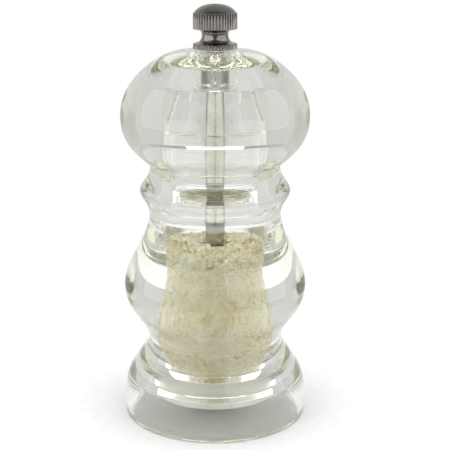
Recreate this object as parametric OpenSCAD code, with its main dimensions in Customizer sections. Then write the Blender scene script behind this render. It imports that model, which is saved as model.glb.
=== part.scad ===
// Clear acrylic table mill: a turned body and a turned head on a square shaft, with a ceramic
// cone grinder in the foot and a knurled nut on top that sets how fine it grinds.
// Millimetres, +Z up, origin at the centre of the foot on the table. Outlines are [radius, height].

/* [Body] */
// Height from the table to the top of the nut
mill_h = 120; // [116:1:124]
// Height of the joint between body and head
seam_z = 75; // [74:0.5:76]
// Radius of the chamber bore
chamber_r = 16.4; // [15.5:0.1:17]
// Height of the shoulder where the chamber narrows to the neck bore
shoulder_z = 66; // [64:0.5:68]
// Radius of the neck bore
neck_bore_r = 13.2; // [12.5:0.1:13.6]
// Outer radius of the tenon that the head turns on
tenon_r = 15; // [14.8:0.05:15.1]
// Height of the tenon above the joint
tenon_h = 11.5; // [9:0.5:12]
// Depth of the open recess under the foot
recess_h = 10.9; // [9:0.1:11.5]
// Radius of that recess
recess_r = 24.5; // [23.5:0.1:25]

/* [Head] */
// Radius of the bore that turns on the tenon
socket_r = 15.25; // [15.2:0.05:15.4]
// Radius of the relief at the mouth of that bore
relief_r = 15.7; // [15.6:0.05:16]
// Height of the ceiling inside the head
ceiling_z = 101; // [99:0.5:102]
// Height of the flat under the nut
head_top_z = 107.4; // [107:0.1:107.5]
// Radius of the boss that hangs from the ceiling round the shaft
boss_r = 6.5; // [6:0.1:7]

/* [Grinder] */
// Radius of the housing flange that shows in the recess
flange_r = 22; // [21.5:0.1:23]
// Height of the underside of the flange
flange_z = 7.6; // [7:0.1:8.2]
// Radius of the housing drum pressed into the body
drum_r = 20.4; // [20:0.1:20.4]
// Teeth round the stator ring
stator_teeth = 24; // [18:2:30]
// Teeth round the rotor
rotor_teeth = 16; // [10:2:20]
// Arms of the bridge that carries the top of the spring
bridge_arms = 3; // [3:1:4]

/* [Shaft and nut] */
// Side of the square shaft
shaft_side = 4; // [3.8:0.1:4]
// Radius of the threaded ends of shaft and nut
thread_r = 1.95; // [1.8:0.05:1.95]
// Radius of the nut over its knurls
nut_r = 6.2; // [5.8:0.1:6.4]
// Knurls round the nut
nut_knurls = 46; // [36:2:52]
// Coils of the spring
spring_turns = 4; // [3:1:5]

/* [Contents] */
// Height of the top of the salt
salt_top_z = 50; // [30:1:60]

/* [Hidden] */

fine = 96;            // facets of round preview surfaces, which stand for true circles
curve_steps = 5;      // stretches between two points of a turned outline
fit = 0.05;           // radial gap of a press fit
running = 0.1;        // gap round a piece that turns or slides
joint_gap = 0.1;      // gap between faces that turn on each other
foot_edge = 0.7;      // chamfer along the edges that touch the table

drum_bore_r = drum_r + 0.1;      // counterbore that takes the drum
ledge_z = 15;                    // top of that counterbore
tenon_top_z = seam_z + tenon_h;
relief_z = 83.9;                 // top of the relief in the head's bore
cone_z = 96;                     // where the bore starts to narrow towards the ceiling
ceiling_r = 12.5;                // radius where that cone meets the ceiling
boss_bottom_z = 93.6;
bush_r = 4.2;
bush_top_z = 107.3;
bush_flange_z = 92.6;
thread_z = 105.5;                // where the square of the shaft ends and its thread starts
thread_top_z = 116;
shaft_bottom_z = 3.6;
collar_r = 13;                   // collar of the housing that holds the stator
collar_z = 3.2;
stator_r = 11;
stator_bottom_z = 4;
stator_top_z = 10;
rotor_bottom_z = 4.6;
rotor_top_z = 11;
rotor_bore_r = 3.45;
carrier_top_z = 11.4;
hub_r = 4.7;
hub_bottom_z = 18;
hub_top_z = 21.5;
arm_slope = 27;                  // degrees that the bridge arms rise towards the hub
arm_top_z = 21.8;                // where their middle lines would meet on the axis
washer_top_z = hub_bottom_z - joint_gap;
washer_t = 0.6;
spring_wire_r = 0.35;
spring_mid_r = 3.95;

// A smooth outline through a few points: cubic stretches whose direction at each point
// follows its two neighbours.
function spans(p) = [for (i = [0:len(p) - 2]) norm(p[i + 1] - p[i])];
function direction(p, s, i) =
    i == 0 ? (p[1] - p[0]) / s[0]
    : i == len(p) - 1 ? (p[i] - p[i - 1]) / s[i - 1]
    : ((p[i] - p[i - 1]) / s[i - 1] * s[i] + (p[i + 1] - p[i]) / s[i] * s[i - 1])
      / (s[i - 1] + s[i]);
function between(a, b, da, db, t) =
    a * (2 * t * t * t - 3 * t * t + 1) + da * (t * t * t - 2 * t * t + t)
    + b * (3 * t * t - 2 * t * t * t) + db * (t * t * t - t * t);
function outline(p, s) = concat(
    [for (i = [0:len(p) - 2], k = [0:curve_steps - 1])
        between(p[i], p[i + 1], direction(p, s, i) * s[i], direction(p, s, i + 1) * s[i],
                k / curve_steps)],
    [p[len(p) - 1]]);
function smooth(p) = outline(p, spans(p));

// Foot, waist, bulb, neck, bead and collar of the body, from the table up to the joint
body_outline = smooth([
    [27.1, foot_edge], [26.9, 8], [25.8, 12], [22.2, 18], [19.95, 23], [21.1, 27], [25.2, 33],
    [26.65, 39], [25.2, 45], [22.1, 51], [19.6, 57], [19.1, 61], [20.1, 64], [21.7, 67.4],
    [20.1, 70.4], [18.9, 72.8], [18.7, seam_z]]);
// Ball of the head, from the joint up to the flat under the nut
head_outline = smooth([
    [18.9, seam_z + joint_gap], [22.2, 78], [25.5, 82.3], [26.95, 88.5], [25.2, 96],
    [20.3, 102], [15.2, 105.5], [10.5, 107.05], [7.2, head_top_z]]);

module turned(profile) rotate_extrude($fn = fine) polygon(profile);

module disc(r, low, high) translate([0, 0, low]) cylinder(r = r, h = high - low, $fn = fine);

module square_bar(side, low, high)
    translate([-side / 2, -side / 2, low]) cube([side, side, high - low]);

// The shaft stands with one corner to the front
module square_hole(side, low, high) rotate(45) square_bar(side, low, high);

// A band with a straight knurl, as a star of fine points
module knurled(r, depth, count, low, high)
    translate([0, 0, low]) linear_extrude(height = high - low)
        polygon([for (i = [0:2 * count - 1])
            let (a = 180 * i / count, d = i % 2 == 0 ? r : r - depth) [d * cos(a), d * sin(a)]]);

module body() color([0.86, 0.88, 0.84, 0.4]) turned(concat(
    [[27.1 - foot_edge, 0]],
    body_outline,
    [[tenon_r, seam_z], [tenon_r, tenon_top_z - 0.4], [tenon_r - 0.4, tenon_top_z],
     [neck_bore_r, tenon_top_z], [neck_bore_r, shoulder_z], [chamber_r, shoulder_z],
     [chamber_r, ledge_z], [drum_bore_r, ledge_z], [drum_bore_r, recess_h],
     [recess_r, recess_h], [recess_r, foot_edge], [recess_r + foot_edge, 0]]));

module head() color([0.86, 0.88, 0.84, 0.4]) turned(concat(
    head_outline,
    [[bush_r + fit, head_top_z], [bush_r + fit, boss_bottom_z], [boss_r, boss_bottom_z],
     [boss_r, ceiling_z], [ceiling_r, ceiling_z], [socket_r, cone_z],
     [socket_r, relief_z + relief_r - socket_r], [relief_r, relief_z],
     [relief_r, seam_z + joint_gap]]));

module top_nut() {
    nut_z = head_top_z + joint_gap;
    color([0.55, 0.54, 0.52]) difference() {
        union() {
            turned([[0, nut_z], [5.6, nut_z], [5.6, 109.2], [4.6, 109.6], [3.95, 110.4],
                    [3.75, 111.3], [3.9, 112.2], [4.5, 112.8], [5.6, 113], [5.6, 117.7],
                    [4.9, 118.6], [3.9, 119.3], [2.6, 119.8], [1.2, mill_h - 0.05],
                    [0, mill_h]]);
            knurled(nut_r, 0.3, nut_knurls, nut_z + 0.2, 109);
            knurled(nut_r, 0.3, nut_knurls, 113.2, 117.4);
        }
        disc(thread_r + running, nut_z - 1, thread_top_z + 0.9);
    }
}

module drive_bush() color([0.9, 0.91, 0.86]) difference() {
    union() {
        disc(bush_r, bush_flange_z, bush_top_z);
        disc(boss_r - 0.2, bush_flange_z, boss_bottom_z - 0.02);
    }
    square_hole(shaft_side + 2 * running, bush_flange_z - 1, bush_top_z + 1);
}

module shaft() color([0.8, 0.8, 0.77]) difference() {
    union() {
        intersection() {
            square_hole(shaft_side, shaft_bottom_z, thread_z);
            disc(shaft_side / sqrt(2) - 0.12, shaft_bottom_z, thread_z);
        }
        disc(thread_r, thread_z - 1, thread_top_z - 0.4);
        translate([0, 0, thread_top_z - 0.4])
            cylinder(r1 = thread_r, r2 = thread_r - 0.4, h = 0.4, $fn = fine);
    }
    disc(1.5, shaft_bottom_z - 1, shaft_bottom_z + 7);
}

// One bar of the bridge, rising from the rim of the drum to the hub
module bridge_arm() translate([0, 0, arm_top_z])
    rotate([0, arm_slope, 0]) translate([0, -1.8, -1.1]) cube([19.5, 3.6, 2.2]);

module grinder_housing() {
    hopper_r = chamber_r - 0.4;
    color([0.93, 0.93, 0.87]) difference() {
        union() {
            turned([[stator_r + fit, collar_z], [collar_r, collar_z], [collar_r, flange_z],
                    [flange_r - 0.3, flange_z], [flange_r, flange_z + 0.3],
                    [flange_r, recess_h - 0.05], [drum_r, recess_h - 0.05],
                    [drum_r, ledge_z - 0.05], [hopper_r, ledge_z - 0.05],
                    [hopper_r - 0.6, ledge_z - 2.4], [9.6, 10.8], [9.6, stator_top_z + fit],
                    [stator_r + fit, stator_top_z + fit]]);
            disc(hub_r, hub_bottom_z, hub_top_z);
            intersection() {
                for (i = [0:bridge_arms - 1]) rotate(90 + i * 360 / bridge_arms) bridge_arm();
                disc(hopper_r + 1.5, recess_h, hub_top_z);
            }
        }
        disc(shaft_side / sqrt(2) + 0.2, hub_bottom_z - 3, hub_top_z + 1);
    }
}

// Slanted V grooves cut into a cone, which leave the grinding teeth between them
module grooves(count, r, depth, low, high, skew)
    for (i = [0:count - 1]) rotate(i * 360 / count)
        translate([r, 0, (low + high) / 2]) rotate([skew, 0, 0])
            rotate(45) cube([depth, depth, high - low + 4], center = true);

module stator_ring() color([0.9, 0.9, 0.88]) difference() {
    turned([[9.5, stator_bottom_z], [stator_r, stator_bottom_z], [stator_r, stator_top_z],
            [9.0, stator_top_z], [8.6, stator_top_z - 0.6]]);
    grooves(stator_teeth, 9.1, 0.8, stator_bottom_z, stator_top_z, 14);
}

module rotor() color([0.88, 0.88, 0.86]) difference() {
    turned([[rotor_bore_r, rotor_bottom_z], [8.9, rotor_bottom_z], [8.95, rotor_bottom_z + 0.8],
            [7.4, rotor_top_z - 2.4], [5.4, rotor_top_z], [rotor_bore_r, rotor_top_z]]);
    grooves(rotor_teeth, 8.4, 1.5, rotor_bottom_z, rotor_top_z, -22);
}

module rotor_carrier() color([0.93, 0.93, 0.87]) difference() {
    union() {
        disc(5.6, shaft_bottom_z, rotor_bottom_z);
        disc(rotor_bore_r - fit, rotor_bottom_z - 0.2, carrier_top_z);
    }
    square_hole(shaft_side + 0.1, shaft_bottom_z - 1, carrier_top_z + 1);
}

// The spring bears on the carrier below and on its washer above
spring_low = carrier_top_z + spring_wire_r;
spring_high = washer_top_z - washer_t - spring_wire_r;
spring_rings = 20 * spring_turns;
spring_sides = 8;

function spring_point(i, j) =
    let (turn = 360 * i * spring_turns / spring_rings, side = 360 * j / spring_sides,
         r = spring_mid_r + spring_wire_r * cos(side))
    [r * cos(turn), r * sin(turn),
     spring_low + (spring_high - spring_low) * i / spring_rings + spring_wire_r * sin(side)];

module spring() color([0.6, 0.6, 0.58]) polyhedron(
    points = [for (i = [0:spring_rings], j = [0:spring_sides - 1]) spring_point(i, j)],
    faces = concat(
        [for (i = [0:spring_rings - 1], j = [0:spring_sides - 1])
            let (a = i * spring_sides + j, b = i * spring_sides + (j + 1) % spring_sides)
            [a, a + spring_sides, b + spring_sides, b]],
        [[for (j = [0:spring_sides - 1]) j]],
        [[for (j = [spring_sides - 1:-1:0]) spring_rings * spring_sides + j]]),
    convexity = 6);

module spring_washer() color([0.7, 0.7, 0.68]) difference() {
    disc(hub_r, washer_top_z - washer_t, washer_top_z);
    square_hole(shaft_side + 2 * running, washer_top_z - 2, washer_top_z + 1);
}

module rotor_washer() color([0.7, 0.7, 0.68]) difference() {
    disc(3.9, shaft_bottom_z - 0.6, shaft_bottom_z);
    disc(1.6, shaft_bottom_z - 1, shaft_bottom_z + 1);
}

module rotor_screw() {
    head_z = shaft_bottom_z - 0.6;
    color([0.7, 0.7, 0.68]) difference() {
        union() {
            turned([[0, head_z - 1.4], [1.7, head_z - 1.3], [2.5, head_z - 0.8],
                    [2.8, head_z - 0.2], [2.8, head_z], [0, head_z]]);
            disc(1.45, head_z - 0.1, shaft_bottom_z + 6);
        }
        for (a = [0, 90]) rotate(a)
            translate([-1.4, -0.3, head_z - 2]) cube([2.8, 0.6, 1.3]);
    }
}

module salt_fill() color([0.9, 0.87, 0.75]) turned([
    [3.4, hub_top_z + 0.6], [5.2, hub_top_z + 0.6], [chamber_r - 0.25, ledge_z + 1.2],
    [chamber_r - 0.25, salt_top_z - 1.5], [chamber_r - 2, salt_top_z - 0.2],
    [9, salt_top_z], [3.4, salt_top_z - 0.8]]);

body();
head();
top_nut();
drive_bush();
shaft();
grinder_housing();
stator_ring();
rotor();
rotor_carrier();
spring();
spring_washer();
rotor_washer();
rotor_screw();
salt_fill();
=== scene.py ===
"""A clear acrylic table mill filled with coarse salt, on a pale floor in a soft white studio.

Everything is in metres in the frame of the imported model. Outlines are (radius, height) in
millimetres, because that is how the turned pieces are drawn.
"""
import math

import bmesh
import bpy
import numpy as np
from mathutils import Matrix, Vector


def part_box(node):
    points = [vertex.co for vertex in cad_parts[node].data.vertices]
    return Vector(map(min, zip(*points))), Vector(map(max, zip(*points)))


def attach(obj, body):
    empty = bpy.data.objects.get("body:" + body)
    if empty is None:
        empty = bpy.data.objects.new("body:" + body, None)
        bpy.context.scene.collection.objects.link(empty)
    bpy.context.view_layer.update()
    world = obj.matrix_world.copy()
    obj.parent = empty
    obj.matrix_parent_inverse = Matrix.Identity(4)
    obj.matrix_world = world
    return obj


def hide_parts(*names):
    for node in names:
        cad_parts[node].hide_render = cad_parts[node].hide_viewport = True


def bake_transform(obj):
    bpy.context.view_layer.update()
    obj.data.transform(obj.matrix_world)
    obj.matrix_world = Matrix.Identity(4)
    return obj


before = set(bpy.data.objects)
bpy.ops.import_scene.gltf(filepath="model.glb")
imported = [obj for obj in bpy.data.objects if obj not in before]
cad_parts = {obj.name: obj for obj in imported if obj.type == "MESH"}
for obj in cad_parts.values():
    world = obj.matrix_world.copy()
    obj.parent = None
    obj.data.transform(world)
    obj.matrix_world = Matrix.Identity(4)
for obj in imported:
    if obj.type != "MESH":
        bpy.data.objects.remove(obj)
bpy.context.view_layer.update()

MM = 0.001
RNG = np.random.default_rng(7)
TURN = 2 * math.pi

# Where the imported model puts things, in millimetres
SEAM_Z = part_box("head")[0].z / MM
TENON_TOP_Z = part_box("body")[1].z / MM
HEAD_TOP_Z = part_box("head")[1].z / MM
NUT_BOTTOM_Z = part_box("top_nut")[0].z / MM
NUT_TOP_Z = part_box("top_nut")[1].z / MM
NUT_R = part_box("top_nut")[1].x / MM
SHAFT_BOTTOM_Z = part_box("shaft")[0].z / MM
SHAFT_TOP_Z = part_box("shaft")[1].z / MM
SALT_TOP_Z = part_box("salt_fill")[1].z / MM
SPRING_LOW_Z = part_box("spring")[0].z / MM
SPRING_HIGH_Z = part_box("spring")[1].z / MM
SPRING_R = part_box("spring")[1].x / MM

# Sizes of the turned acrylic and of the shaft, as in the design
CHAMBER_R = 16.4
NECK_BORE_R = 13.2
SHOULDER_Z = 66.0
TENON_R = 15.0
SOCKET_R = 15.25
RELIEF_R = 15.7
RELIEF_Z = 83.9
CONE_Z = 96.0
CEILING_R = 12.5
CEILING_Z = 101.0
BOSS_R = 6.5
BOSS_BOTTOM_Z = 93.6
BUSH_R = 4.2
LEDGE_Z = 15.0
DRUM_BORE_R = 20.5
RECESS_Z = 10.9
RECESS_R = 24.5
FOOT_R = 27.1
FOOT_EDGE = 0.7
SHAFT_SIDE = 4.0
THREAD_R = 1.95
THREAD_Z = 105.5
THREAD_PITCH = 0.7
JOINT_GAP = 0.1      # between the faces of body and head
NECK_R = 18.9        # outer radius of both at that joint
NUT_BORE_Z = SHAFT_TOP_Z + 0.9    # the bore's end, clear of the shaft at its highest


# ---------------------------------------------------------------- outlines

def smooth(points, steps=12):
    """A smooth outline through a few points: the natural cubic spline along their chords."""
    p = np.array(points, float)
    h = np.hypot(*np.diff(p, axis=0).T)
    slope = np.diff(p, axis=0) / h[:, None]
    n = len(p)
    bends, pull = np.eye(n), np.zeros((n, 2))
    for i in range(1, n - 1):
        bends[i, i - 1:i + 2] = h[i - 1], 2 * (h[i - 1] + h[i]), h[i]
        pull[i] = 6 * (slope[i] - slope[i - 1])
    bend = np.linalg.solve(bends, pull)
    out = []
    for i in range(n - 1):
        for t in np.arange(steps) / steps:
            u = 1 - t
            out.append(tuple(u * p[i] + t * p[i + 1] + h[i]**2 / 6
                             * ((u**3 - u) * bend[i] + (t**3 - t) * bend[i + 1])))
    return out + [tuple(p[-1])]


def rounded(points, radii, steps=5):
    """A closed outline with its corners rounded, each by its own radius (0 keeps it sharp)."""
    out = []
    n = len(points)
    for i, radius in enumerate(radii):
        here = np.array(points[i], float)
        if radius <= 0:
            out.append(tuple(here))
            continue
        back = np.array(points[i - 1], float) - here
        ahead = np.array(points[(i + 1) % n], float) - here
        back /= np.linalg.norm(back)
        ahead /= np.linalg.norm(ahead)
        half = math.acos(max(-1.0, min(1.0, float(back @ ahead)))) / 2
        reach = radius / math.tan(half)
        start, end = here + back * reach, here + ahead * reach
        for t in np.linspace(0, 1, steps + 1):
            out.append(tuple((1 - t)**2 * start + 2 * t * (1 - t) * here + t**2 * end))
    return out


def turning_marks(low, high, radius, pitch=0.5, depth=0.012):
    """The fine ridges a lathe tool leaves along a bore, from low to high."""
    count = max(2, int(abs(high - low) / pitch * 4))
    z = np.linspace(low, high, count)
    wave = np.sin(TURN * z / pitch) * (0.6 + 0.4 * np.sin(TURN * z / (pitch * 7.3)))
    return [(radius + depth * w, h) for w, h in zip(wave, z)]


# ---------------------------------------------------------------- meshes

MERGE = 1e-7    # points closer than this are one point


def new_object(name, verts, faces, material, smooth_angle=None):
    mesh = bpy.data.meshes.new(name)
    mesh.from_pydata([tuple(v) for v in verts], [], faces)
    bm = bmesh.new()
    bm.from_mesh(mesh)
    bmesh.ops.remove_doubles(bm, verts=bm.verts, dist=MERGE)
    bmesh.ops.recalc_face_normals(bm, faces=bm.faces)
    bm.to_mesh(mesh)
    bm.free()
    if smooth_angle is not None:
        for polygon in mesh.polygons:
            polygon.use_smooth = True
        mesh.set_sharp_from_angle(angle=math.radians(smooth_angle))
    mesh.materials.append(material)
    piece = bpy.data.objects.new(name, mesh)
    bpy.context.scene.collection.objects.link(piece)
    return piece


def lathe(name, outline, material, segments=192, smooth_angle=28, swell=None):
    """A turned solid from a closed outline. Where it meets the axis it closes to a point.

    swell(angle, radius, height) gives the radius of a point that isn't round, in mm."""
    angles = np.arange(segments) * TURN / segments
    rows = []
    verts = []
    for r, z in outline:
        if r < 1e-6:
            rows.append([len(verts)] * segments)
            verts.append((0, 0, z * MM))
            continue
        radii = np.full(segments, r) if swell is None else swell(angles, r, z)
        rows.append(list(range(len(verts), len(verts) + segments)))
        verts += [(a * math.cos(t) * MM, a * math.sin(t) * MM, z * MM)
                  for a, t in zip(radii, angles)]
    faces = []
    for row, above in zip(rows, rows[1:] + rows[:1]):
        for k in range(segments):
            n = (k + 1) % segments
            face = list(dict.fromkeys([row[k], row[n], above[n], above[k]]))
            if len(face) > 2:
                faces.append(face)
    return new_object(name, verts, faces, material, smooth_angle)


# ---------------------------------------------------------------- materials

class Shader:
    """A small helper that builds one Principled material node by node."""

    def __init__(self, name, **values):
        self.material = bpy.data.materials.new(name)
        self.material.use_nodes = True
        self.tree = self.material.node_tree
        self.main = self.tree.nodes["Principled BSDF"]
        for key, value in values.items():
            self.set(key.replace("_", " "), value)

    def set(self, key, value):
        self.main.inputs[key].default_value = value

    def node(self, kind, **values):
        made = self.tree.nodes.new(kind)
        for key, value in values.items():
            if key in made.inputs:
                made.inputs[key].default_value = value
            else:
                setattr(made, key, value)
        return made

    def link(self, source, target):
        self.tree.links.new(source, target)

    def place(self, scale=(1, 1, 1)):
        """Object coordinates, stretched by scale."""
        coords = self.node("ShaderNodeTexCoord")
        mapping = self.node("ShaderNodeMapping", Scale=scale)
        self.link(coords.outputs["Object"], mapping.inputs["Vector"])
        return mapping.outputs["Vector"]

    def noise(self, scale, detail=3.0, roughness=0.5, stretch=(1, 1, 1)):
        made = self.node("ShaderNodeTexNoise", Scale=scale, Detail=detail, Roughness=roughness)
        self.link(self.place(stretch), made.inputs["Vector"])
        return made.outputs["Fac"]

    def ramp(self, source, *stops):
        made = self.node("ShaderNodeValToRGB")
        ramp = made.color_ramp
        while len(ramp.elements) < len(stops):
            ramp.elements.new(0.5)
        for element, (at, colour) in zip(ramp.elements, stops):
            element.position = at
            element.color = (*colour, 1)
        self.link(source, made.inputs["Fac"])
        return made.outputs["Color"]

    def grade(self, source, low, high):
        """source from 0..1 to low..high."""
        made = self.node("ShaderNodeMapRange")
        made.inputs["To Min"].default_value = low
        made.inputs["To Max"].default_value = high
        self.link(source, made.inputs["Value"])
        return made.outputs["Result"]

    def bump(self, source, distance, strength=1.0):
        made = self.node("ShaderNodeBump", Distance=distance, Strength=strength)
        self.link(source, made.inputs["Height"])
        self.link(made.outputs["Normal"], self.main.inputs["Normal"])


def acrylic():
    """Clear acrylic, polished, with the faintest rings that polishing leaves round the axis."""
    s = Shader("clear_acrylic", Base_Color=(1, 1, 1, 1), Roughness=0.0, IOR=1.49,
               Transmission_Weight=1.0)
    volume = s.node("ShaderNodeVolumeAbsorption", Density=45.0)
    volume.inputs["Color"].default_value = (0.91, 0.915, 0.86, 1)
    out = next(n for n in s.tree.nodes if n.type == "OUTPUT_MATERIAL")
    s.link(volume.outputs["Volume"], out.inputs["Volume"])
    rings = s.noise(420, 4, 0.6, (0.04, 0.04, 2))
    s.link(s.grade(rings, 0.0, 0.03), s.main.inputs["Roughness"])
    s.bump(rings, 0.000004, 0.25)
    return s.material


def turned_steel():
    """Bright steel off the lathe: fine rings round the axis, and a tone that varies at random."""
    s = Shader("turned_steel", Metallic=1.0)
    rings = s.noise(900, 4, 0.6, (0.03, 0.03, 4))
    tone = s.noise(260, 3, 0.5)
    s.link(s.ramp(tone, (0.3, (0.20, 0.185, 0.17)), (0.7, (0.36, 0.34, 0.315))),
           s.main.inputs["Base Color"])
    s.link(s.grade(rings, 0.14, 0.30), s.main.inputs["Roughness"])
    s.bump(rings, 0.00002, 0.35)
    return s.material


def drawn_aluminium():
    """Square bar with the long scratches of the drawing die."""
    s = Shader("drawn_aluminium", Metallic=1.0)
    lines = s.noise(1500, 4, 0.6, (1, 1, 0.02))
    marks = s.noise(500, 3, 0.6, (0.1, 0.1, 1.2))
    s.link(s.ramp(marks, (0.25, (0.45, 0.45, 0.405)), (0.75, (0.55, 0.55, 0.495))),
           s.main.inputs["Base Color"])
    s.link(s.grade(lines, 0.12, 0.22), s.main.inputs["Roughness"])
    s.bump(lines, 0.00002, 0.4)
    return s.material


def moulded(name, low, high, roughness=(0.28, 0.42), clearness=0.0):
    """Moulded plastic with a faint mottle and a slight orange peel. Natural nylon in a thin
    wall lets light through."""
    s = Shader(name, IOR=1.53, Transmission_Weight=clearness)
    cloud = s.noise(140, 3, 0.5)
    grain = s.noise(2600, 2, 0.5)
    s.link(s.ramp(cloud, (0.3, low), (0.7, high)), s.main.inputs["Base Color"])
    s.link(s.grade(grain, *roughness), s.main.inputs["Roughness"])
    s.bump(grain, 0.00001, 0.25)
    return s.material


def plain_steel(name, low, high):
    s = Shader(name, Metallic=1.0)
    scratches = s.noise(1200, 4, 0.65, (0.15, 1, 1))
    s.link(s.ramp(scratches, (0.3, low), (0.7, high)), s.main.inputs["Base Color"])
    s.link(s.grade(scratches, 0.22, 0.38), s.main.inputs["Roughness"])
    s.bump(scratches, 0.00001, 0.3)
    return s.material


def salt_crystal():
    """Cream crystals in loose patches of lighter and yellower salt, each a little different
    from the next."""
    s = Shader("salt_crystal", IOR=1.54)
    geometry = s.node("ShaderNodeNewGeometry")
    patches = s.noise(150, 4, 0.55)
    tone = s.node("ShaderNodeMix", data_type="FLOAT", Factor=0.78)
    s.link(geometry.outputs["Random Per Island"], tone.inputs["A"])
    s.link(patches, tone.inputs["B"])
    s.link(s.ramp(tone.outputs["Result"], (0.36, (0.87, 0.77, 0.44)), (0.46, (0.94, 0.88, 0.59)),
                  (0.56, (0.97, 0.95, 0.71)), (0.68, (0.99, 0.98, 0.82))),
           s.main.inputs["Base Color"])
    grain = s.noise(1800, 3, 0.6)
    s.link(s.grade(grain, 0.08, 0.30), s.main.inputs["Roughness"])
    s.bump(grain, 0.00003, 0.4)
    return s.material


def salt_bed():
    s = Shader("salt_bed", Roughness=0.7)
    cloud = s.noise(700, 4, 0.6)
    s.link(s.ramp(cloud, (0.3, (0.93, 0.86, 0.56)), (0.7, (0.97, 0.93, 0.70))),
           s.main.inputs["Base Color"])
    s.bump(cloud, 0.0004, 0.8)
    return s.material


ACRYLIC = acrylic()
NUT_STEEL = turned_steel()
ALUMINIUM = drawn_aluminium()
NYLON = moulded("cream_nylon", (0.86, 0.86, 0.73), (0.91, 0.91, 0.79))
NATURAL_NYLON = moulded("natural_nylon", (0.92, 0.93, 0.87), (0.96, 0.96, 0.92), (0.05, 0.12), 1.0)
CERAMIC = moulded("white_ceramic", (0.82, 0.82, 0.79), (0.90, 0.90, 0.88), (0.45, 0.60))
SPRING_STEEL = plain_steel("spring_wire", (0.50, 0.49, 0.47), (0.66, 0.65, 0.62))
WASHER_STEEL = plain_steel("stamped_steel", (0.58, 0.57, 0.55), (0.72, 0.71, 0.69))
CRYSTAL = salt_crystal()
BED = salt_bed()


# ---------------------------------------------------------------- acrylic turnings

def body_outline():
    outside = [(FOOT_R, FOOT_EDGE)] + smooth([
        (FOOT_R, 3), (26.85, 8), (25.8, 12), (22.2, 18), (19.95, 23), (21.1, 27), (25.2, 33),
        (26.65, 39), (25.2, 45), (22.1, 51), (19.6, 57), (19.1, 61), (20.1, 64), (21.7, 67.4),
        (20.1, 70.4), (NECK_R, 72.8), (18.7, SEAM_Z - JOINT_GAP)])
    edge = 0.35
    joint = rounded([outside[-2], (18.7, SEAM_Z - JOINT_GAP), (TENON_R, SEAM_Z - JOINT_GAP),
                     (TENON_R, TENON_TOP_Z), (NECK_BORE_R, TENON_TOP_Z),
                     (NECK_BORE_R, TENON_TOP_Z - 1)], [0, edge, 0.2, edge, edge, 0])[1:-1]
    shoulder = [(NECK_BORE_R, SHOULDER_Z), (CHAMBER_R, SHOULDER_Z)]
    foot = rounded([(CHAMBER_R, LEDGE_Z + 2), (CHAMBER_R, LEDGE_Z), (DRUM_BORE_R, LEDGE_Z),
                    (DRUM_BORE_R, RECESS_Z), (RECESS_R, RECESS_Z), (RECESS_R, 0),
                    (FOOT_R, 0), outside[1]], [0, 0.2, 0.3, 0.3, 0.5, FOOT_EDGE, FOOT_EDGE, 0])
    return (outside[1:-1] + joint
            + turning_marks(TENON_TOP_Z - 1, SHOULDER_Z + 0.2, NECK_BORE_R, 0.8, 0.03)[1:-1] + shoulder
            + turning_marks(SHOULDER_Z - 0.4, SALT_TOP_Z, CHAMBER_R, 0.8, 0.008)
            + foot[1:-1])


def head_outline():
    outside = smooth([
        (NECK_R, SEAM_Z), (22.2, 78), (25.5, 82.3), (26.95, 88.5), (25.2, 96), (20.3, 102),
        (15.2, 105.5), (10.5, 107.05), (7.2, HEAD_TOP_Z)])
    inside = rounded([(BUSH_R + 0.05, HEAD_TOP_Z), (BUSH_R + 0.05, BOSS_BOTTOM_Z),
                      (BOSS_R, BOSS_BOTTOM_Z), (BOSS_R, CEILING_Z), (CEILING_R, CEILING_Z),
                      (SOCKET_R, CONE_Z), (SOCKET_R, RELIEF_Z + RELIEF_R - SOCKET_R),
                      (RELIEF_R, RELIEF_Z), (RELIEF_R, SEAM_Z), outside[1]],
                     [0.25, 0.2, 0.3, 0.8, 0.4, 0.8, 0, 0, 0.35, 0])
    return outside[1:] + inside[:-1] + rounded(
        [(RELIEF_R, SEAM_Z), (NECK_R, SEAM_Z), outside[1]], [0, 0.35, 0])[1:-1]


def make_acrylic():
    body = lathe("clear_body", body_outline(), ACRYLIC)
    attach(body, "mill_body")
    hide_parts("body")
    head = lathe("clear_head", head_outline(), ACRYLIC)
    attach(head, "mill_head")
    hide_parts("head")


# ---------------------------------------------------------------- nut and shaft

KNURLS = 46
KNURL_DEPTH = 0.32
KNURL_END = 0.25      # length over which the grooves run out
KNURL_STEPS = 6       # points round each knurl
CREST_POWER = 0.6     # below 1 the crests are round and the grooves narrow
BANDS = ((NUT_BOTTOM_Z + 0.15, 109.05), (113.15, 117.45))


def knurl(angles, r, z):
    """The straight knurl: grooves with round crests, fading at the ends of each band."""
    depth = 0.0
    for low, high in BANDS:
        if low <= z <= high:
            depth = KNURL_DEPTH * min(1.0, (z - low) / KNURL_END + 0.1,
                                      (high - z) / KNURL_END + 0.1)
    wave = np.abs(np.sin(angles * KNURLS / 2)) ** CREST_POWER
    return r - depth * (1 - wave)


def knurl_band(bottom, top):
    """The outline of one knurled band, with points close together where its grooves run out."""
    return [(NUT_R, z) for z in (bottom, bottom + 0.12, bottom + KNURL_END, (bottom + top) / 2,
                                 top - KNURL_END, top - 0.12, top)]


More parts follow.
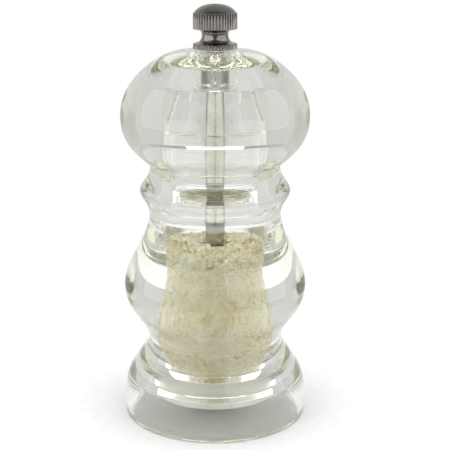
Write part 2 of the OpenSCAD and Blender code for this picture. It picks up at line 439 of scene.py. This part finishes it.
def nut_outline():
    """From the lower band over the waist and the upper band to the dome, then down the bore."""
    low, high = BANDS
    dome = smooth([(5.95, 117.6), (5.5, 118.15), (4.4, 119.0), (3.0, 119.62), (1.9, 119.86)], 6)
    ring = [(1.75, 119.80), (1.6, 119.72), (1.45, 119.74), (1.3, 119.86), (1.0, 119.94),
            (0.5, 119.985), (0, NUT_TOP_Z)]
    waist = smooth([(5.6, 109.25), (4.7, 109.5), (4.05, 110.2), (3.72, 111.2), (3.85, 112.2),
                    (4.4, 112.8), (5.5, 112.98)], 6)
    bore_r, groove, half_turns = THREAD_R + 0.1, 0.18, 22
    bore = [(bore_r, NUT_BORE_Z)] + [
        (bore_r + (groove if i % 2 else 0.0), 116.2 - i * THREAD_PITCH / 2)
        for i in range(half_turns)] + [(THREAD_R + 0.5, NUT_BOTTOM_Z)]
    return ([(5.75, NUT_BOTTOM_Z), (6.0, NUT_BOTTOM_Z + 0.05)] + knurl_band(*low)
            + [(6.05, 109.13)] + waist + [(5.95, 113.05)] + knurl_band(*high)
            + [(6.1, 117.53)] + dome + ring + [(0, NUT_BORE_Z)] + bore)


def make_nut():
    nut = lathe("knurled_nut", nut_outline(), NUT_STEEL, KNURLS * KNURL_STEPS, 35, knurl)
    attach(nut, "setting_nut")
    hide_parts("top_nut")


def shaft_bar():
    """The square bar with slightly rounded corners, one of them to the front."""
    half, corner, steps = SHAFT_SIDE / 2, 0.2, 4
    diagonal = math.cos(math.pi / 4)
    ring = []
    for quarter in range(4):
        for t in np.linspace(0, math.pi / 2, steps + 1):
            a = t + quarter * math.pi / 2
            sx, sy = [(1, 1), (-1, 1), (-1, -1), (1, -1)][quarter]
            x = sx * (half - corner) + corner * math.cos(a)
            y = sy * (half - corner) + corner * math.sin(a)
            ring.append(((x - y) * diagonal, (x + y) * diagonal))
    levels = np.linspace(SHAFT_BOTTOM_Z + 0.3, THREAD_Z - 0.3, 12)
    rows = [(0.92, SHAFT_BOTTOM_Z)] + [(1.0, z) for z in levels] + [(0.8, THREAD_Z)]
    verts = [(x * k * MM, y * k * MM, z * MM) for k, z in rows for x, y in ring]
    n = len(ring)
    faces = [[i * n + j, i * n + (j + 1) % n, (i + 1) * n + (j + 1) % n, (i + 1) * n + j]
             for i in range(len(rows) - 1) for j in range(n)]
    faces += [list(range(n))[::-1], [(len(rows) - 1) * n + j for j in range(n)]]
    return new_object("shaft_bar", verts, faces, ALUMINIUM, 30)


def shaft_thread():
    """The screw thread on the shaft's end: one ridge that climbs a pitch each turn."""
    around, per_turn = 40, 8
    low, high = THREAD_Z - 0.05, SHAFT_TOP_Z
    rows = int((high - low) / THREAD_PITCH * per_turn)
    verts = []
    for i in range(rows + 1):
        z = low + (high - low) * i / rows
        fade = min(1.0, (high - z) / 0.5 + 0.05, (z - low) / 0.5 + 0.05)
        for k in range(around):
            a = TURN * k / around
            phase = (z / THREAD_PITCH - k / around) % 1.0
            r = THREAD_R - 0.34 * fade * abs(2 * phase - 1) - 0.3 * (1 - fade)
            verts.append((r * math.cos(a) * MM, r * math.sin(a) * MM, z * MM))
    faces = [[i * around + k, i * around + (k + 1) % around,
              (i + 1) * around + (k + 1) % around, (i + 1) * around + k]
             for i in range(rows) for k in range(around)]
    faces += [list(range(around))[::-1], [rows * around + k for k in range(around)]]
    return new_object("shaft_thread", verts, faces, ALUMINIUM, 40)


def make_shaft():
    for piece in (shaft_bar(), shaft_thread()):
        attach(piece, "spindle")
        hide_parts("shaft")


# ---------------------------------------------------------------- spring

def make_spring():
    """Drawn wire wound to closed ends, as one fixed coil: it doesn't shorten as the spindle rises."""
    wire, around, per_turn = 0.35, 10, 28
    coils, closed = 4.0, 0.75
    middle = SPRING_R - wire
    low, high = SPRING_LOW_Z + wire, SPRING_HIGH_Z - wire
    steps = int(coils * per_turn)

    def height(turn):
        if turn < closed:
            return low
        if turn > coils - closed:
            return high
        t = (turn - closed) / (coils - 2 * closed)
        return low + (high - low) * (t * t * (3 - 2 * t) * 0.3 + t * 0.7)

    verts = []
    for i in range(steps + 1):
        a = TURN * i / per_turn
        z = height(i / per_turn)
        out = Vector((math.cos(a), math.sin(a), 0))
        for k in range(around):
            b = TURN * k / around
            p = out * (middle + wire * math.cos(b)) + Vector((0, 0, z + wire * math.sin(b)))
            verts.append(p * MM)
    faces = [[i * around + k, i * around + (k + 1) % around,
              (i + 1) * around + (k + 1) % around, (i + 1) * around + k]
             for i in range(steps) for k in range(around)]
    faces += [list(range(around))[::-1], [steps * around + k for k in range(around)]]
    spring = new_object("coil_spring", verts, faces, SPRING_STEEL, 50)
    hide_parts("spring")
    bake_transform(spring)


# ---------------------------------------------------------------- salt

WALL = CHAMBER_R - 0.12             # how far out the salt reaches
CRYSTAL_SIZE = (0.95, 2.1)
SHAPE_SIZE = 0.72                   # width of a crystal's shape for each unit of its size
WALL_LAYERS = ((0.65, 2100), (1.75, 1500))    # depth behind the wall, number of crystals
TOP_CRYSTALS = 900
SHAFT_HOLE_R = 3.3                  # kept free of crystals round the shaft
BED_HOLE_R = 3.4                    # kept free of the bed


def crystal_shapes(count=14):
    """Irregular crystals: convex hulls round a few scattered points, of about unit size."""
    shapes = []
    for _ in range(count):
        corners = np.array([(x, y, z) for x in (-1, 1) for y in (-1, 1) for z in (-1, 1)], float)
        points = np.vstack([corners * 0.5, RNG.normal(0, 0.42, (5, 3))])
        points += RNG.normal(0, 0.11, points.shape)
        points *= RNG.uniform(0.75, 1.15, 3)
        bm = bmesh.new()
        for p in points:
            bm.verts.new(p)
        bmesh.ops.convex_hull(bm, input=bm.verts)
        loose = [v for v in bm.verts if not v.link_faces]
        bmesh.ops.delete(bm, geom=loose, context="VERTS")
        bm.verts.index_update()
        verts = np.array([v.co[:] for v in bm.verts])
        faces = [[v.index for v in f.verts] for f in bm.faces]
        bm.free()
        shapes.append((verts, faces))
    return shapes


def turned_at_random(verts):
    q = RNG.normal(size=4)
    q /= np.linalg.norm(q)
    w, x, y, z = q
    m = np.array([[1 - 2 * (y * y + z * z), 2 * (x * y - z * w), 2 * (x * z + y * w)],
                  [2 * (x * y + z * w), 1 - 2 * (x * x + z * z), 2 * (y * z - x * w)],
                  [2 * (x * z - y * w), 2 * (y * z + x * w), 1 - 2 * (x * x + y * y)]])
    return verts @ m.T


def salt_top(x, y):
    """The uneven surface of the heap, in mm."""
    lumps = 0.45 * np.sin(x * 0.55 + 1.0) * np.cos(y * 0.48 - 0.4) + 0.25 * np.sin(y * 0.9)
    return SALT_TOP_Z - 1.3 + lumps - 0.03 * np.hypot(x, y)


def salt_places():
    """Middles and sizes of the crystals, in mm: two layers down the wall, and the top."""
    places = []
    for depth, count in WALL_LAYERS:
        angles = RNG.uniform(0, TURN, count)
        sizes = RNG.uniform(*CRYSTAL_SIZE, count)
        heights = RNG.uniform(LEDGE_Z + 0.3, SALT_TOP_Z - 1.2, count)
        for a, size, z in zip(angles, sizes, heights):
            r = WALL - depth - size * 0.25 * RNG.random()
            places.append((r * math.cos(a), r * math.sin(a), z, size))
    for _ in range(TOP_CRYSTALS):
        r, a = (WALL - 0.6) * math.sqrt(RNG.random()), RNG.uniform(0, TURN)
        size = RNG.uniform(*CRYSTAL_SIZE)
        if r < SHAFT_HOLE_R + size * 0.6:
            continue
        x, y = r * math.cos(a), r * math.sin(a)
        places.append((x, y, salt_top(x, y) - RNG.uniform(0, 1.0), size))
    return places


def make_crystals():
    shapes = crystal_shapes()
    verts, faces, base = [], [], 0
    for x, y, z, size in salt_places():
        shape, sides = shapes[int(RNG.integers(len(shapes)))]
        points = turned_at_random(shape) * size * SHAPE_SIZE + (x, y, z)
        radius = np.hypot(points[:, 0], points[:, 1])
        scale = np.minimum(1.0, WALL / np.maximum(radius, 1e-6))
        points[:, :2] *= scale[:, None]
        points[:, 2] = np.clip(points[:, 2], LEDGE_Z + 0.15, SALT_TOP_Z - 0.05)
        verts.append(points * MM)
        faces += [[base + i for i in side] for side in sides]
        base += len(points)
    mesh = bpy.data.meshes.new("salt_crystals")
    mesh.from_pydata([tuple(v) for v in np.vstack(verts)], [], faces)
    mesh.materials.append(CRYSTAL)
    crystals = bpy.data.objects.new("salt_crystals", mesh)
    bpy.context.scene.collection.objects.link(crystals)
    return crystals


def make_salt():
    """A bed of fine salt that fills the hopper, with the coarse crystals that show round it
    and on top."""
    inner = WALL - 0.45
    bed = lathe("salt_bed", [
        (BED_HOLE_R, 22.2), (5.2, 22.2), (10, 17.8), (13, LEDGE_Z - 1.8), (15.2, LEDGE_Z - 1.8),
        (15.8, LEDGE_Z), (WALL, LEDGE_Z + 0.02), (WALL, LEDGE_Z + 0.8),
        (inner, LEDGE_Z + 1.6), (inner, SALT_TOP_Z - 3.2),
        (9, SALT_TOP_Z - 2.2), (BED_HOLE_R, SALT_TOP_Z - 2.4)], BED, 96)
    for piece in (bed, make_crystals()):
        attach(piece, "mill_body")
        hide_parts("salt_fill")


# ---------------------------------------------------------------- CAD nodes that show

def finish_nodes():
    finishes = {
        "grinder_housing": NYLON, "rotor_carrier": NYLON, "drive_bush": NATURAL_NYLON,
        "stator_ring": CERAMIC, "rotor": CERAMIC, "spring_washer": WASHER_STEEL,
        "rotor_washer": WASHER_STEEL, "rotor_screw": WASHER_STEEL}
    for node, material in finishes.items():
        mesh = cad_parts[node].data
        mesh.materials.clear()
        mesh.materials.append(material)


# ---------------------------------------------------------------- studio

FLOOR_R = 0.12
FLOOR_DROP = 0.00005    # keeps the paper clear of the foot


def make_floor():
    """A round sheet of pale paper under the mill. Past its edge there is only the world."""
    corners = 96
    ring = [(FLOOR_R * math.cos(TURN * i / corners), FLOOR_R * math.sin(TURN * i / corners), 0)
            for i in range(corners)]
    floor = new_object("floor", ring, [list(range(corners))], floor_paper())
    floor.location.z = -FLOOR_DROP


def floor_paper():
    s = Shader("white_paper", Roughness=0.8)
    fibre = s.noise(300, 3, 0.5)
    s.link(s.ramp(fibre, (0.3, (0.76, 0.76, 0.76)), (0.7, (0.80, 0.80, 0.80))),
           s.main.inputs["Base Color"])
    return s.material


# Strength of the world for all light but the camera's own rays, which see plain white
WORLD_BACK, WORLD_FRONT, WORLD_TOP = 0.70, 0.12, 0.60


def make_world():
    """A white sweep behind the mill, dim towards the top and the front. It is plain white where
    the camera sees it directly."""
    world = bpy.data.worlds.new("studio")
    bpy.context.scene.world = world
    world.use_nodes = True
    tree = world.node_tree
    nodes, links = tree.nodes, tree.links
    coords = nodes.new("ShaderNodeTexCoord")
    split = nodes.new("ShaderNodeSeparateXYZ")
    links.new(coords.outputs["Generated"], split.inputs[0])

    def fade(axis, start, end, low, high):
        made = nodes.new("ShaderNodeMapRange")
        made.interpolation_type = "SMOOTHSTEP"
        for key, value in (("From Min", start), ("From Max", end), ("To Min", low),
                           ("To Max", high)):
            made.inputs[key].default_value = value
        links.new(split.outputs[axis], made.inputs["Value"])
        return made.outputs["Result"]

    level = nodes.new("ShaderNodeMath")
    level.operation = "MULTIPLY"
    links.new(fade("Y", -0.5, 0.35, WORLD_FRONT, WORLD_BACK), level.inputs[0])
    links.new(fade("Z", 0.3, 0.9, 1.0, WORLD_TOP), level.inputs[1])
    rays = nodes.new("ShaderNodeLightPath")
    seen = nodes.new("ShaderNodeMix")
    seen.data_type = "FLOAT"
    links.new(rays.outputs["Is Camera Ray"], seen.inputs["Factor"])
    links.new(level.outputs["Value"], seen.inputs["A"])
    seen.inputs["B"].default_value = 1.0
    sky = nodes["Background"]
    links.new(seen.outputs["Result"], sky.inputs["Strength"])
    sky.inputs["Color"].default_value = (1, 1, 1, 1)


LIT_PLACE = Vector((0, 0, 0.06))    # the middle of the mill, which the softboxes face
SIDE_BOX = ((1.8, 1.3), 9.5)        # size, watts
TOP_BOX = ((0.8, 0.8), 10.5)
BOUNCES = 32                        # enough for light to reach the salt through the acrylic


def softbox(name, place, size, power, reflected=True):
    """A rectangular lamp that faces the mill and that the camera doesn't see."""
    lamp = bpy.data.lights.new(name, "AREA")
    lamp.shape = "RECTANGLE"
    lamp.size, lamp.size_y = size
    lamp.energy = power
    box = bpy.data.objects.new(name, lamp)
    box.location = place
    box.rotation_euler = (LIT_PLACE - Vector(place)).to_track_quat("-Z", "Y").to_euler()
    box.visible_camera = False
    box.visible_glossy = reflected
    bpy.context.scene.collection.objects.link(box)


def make_camera():
    """Straight ahead of the mill and a little above it, looking down on it."""
    look_down = 15.24    # degrees
    lens = bpy.data.cameras.new("camera")
    lens.sensor_width = 36
    lens.lens = 87.0
    lens.shift_x = 0.022
    lens.clip_start = 0.01
    camera = bpy.data.objects.new("camera", lens)
    camera.location = (0, -0.30667, 0.140)
    camera.rotation_euler = (math.radians(90 - look_down), 0, 0)
    bpy.context.scene.collection.objects.link(camera)
    bpy.context.scene.camera = camera


make_camera()
make_acrylic()
make_nut()
make_shaft()
make_spring()
make_salt()
finish_nodes()
make_floor()
make_world()
softbox("left_softbox", (-0.9, -0.50, 0.45), *SIDE_BOX)
softbox("right_softbox", (0.9, -0.50, 0.45), *SIDE_BOX)
softbox("top_softbox", (0, 0, 1.0), *TOP_BOX, reflected=False)

bpy.context.scene.view_settings.view_transform = "Standard"
for bounces in ("max_bounces", "transmission_bounces", "glossy_bounces", "diffuse_bounces"):
    setattr(bpy.context.scene.cycles, bounces, BOUNCES)
